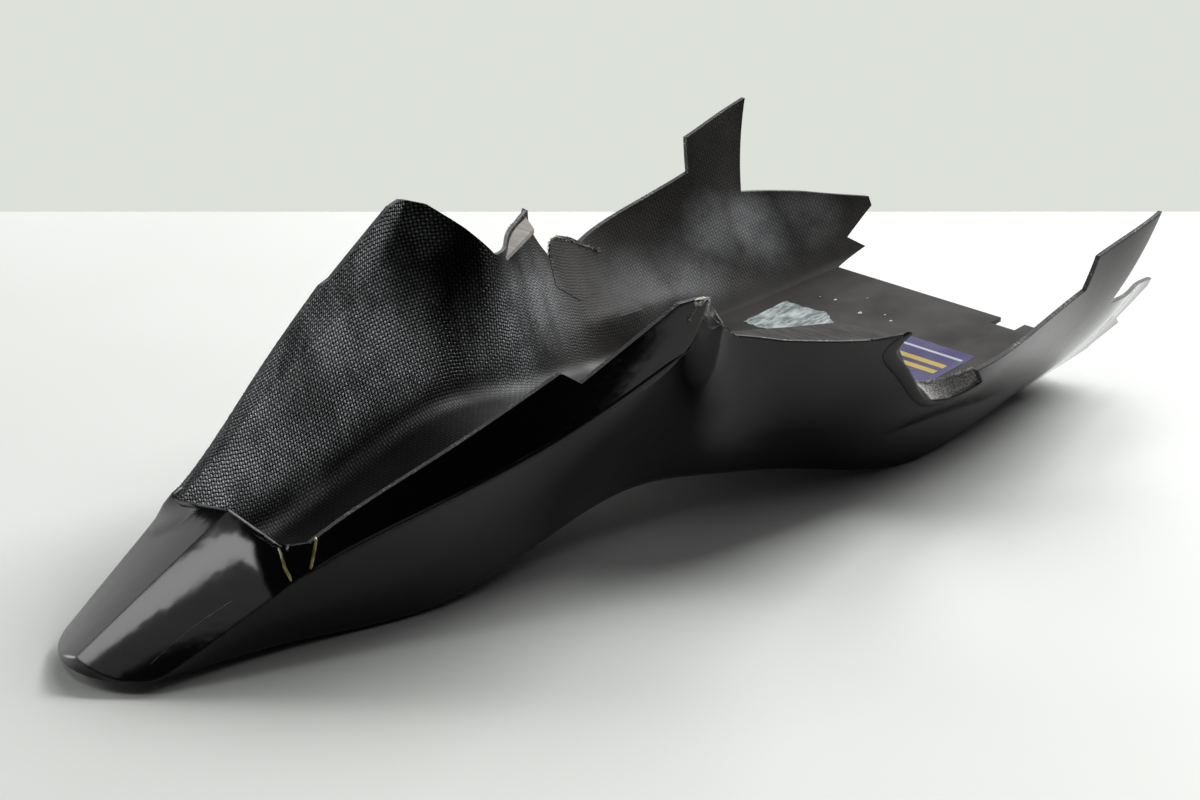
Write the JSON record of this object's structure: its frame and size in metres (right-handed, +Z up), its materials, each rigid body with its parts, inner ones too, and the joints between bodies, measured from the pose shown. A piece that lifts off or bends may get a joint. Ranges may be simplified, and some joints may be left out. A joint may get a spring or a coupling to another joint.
{
  "type": "motorcycle seat cowl",
  "caption": "One-piece laid-up seat cowl shell for a track motorcycle, with a pointed tail, open underside, flat seat pan and forked side panels.",
  "frame": {"origin": "centre of the bounding box in plan, at the floor the cowl lies on", "axes": "+X towards the open front, +Y to the far side in the picture, +Z up with the cowl lying upside down"},
  "size_m": [0.789, 0.3573, 0.1608],
  "materials": {
    "laminate": "black gelcoat outside, bare woven cloth inside"
  },
  "bodies": {
    "root": {"seat_cowl": "laminate"}
  },
  "joints": []
}
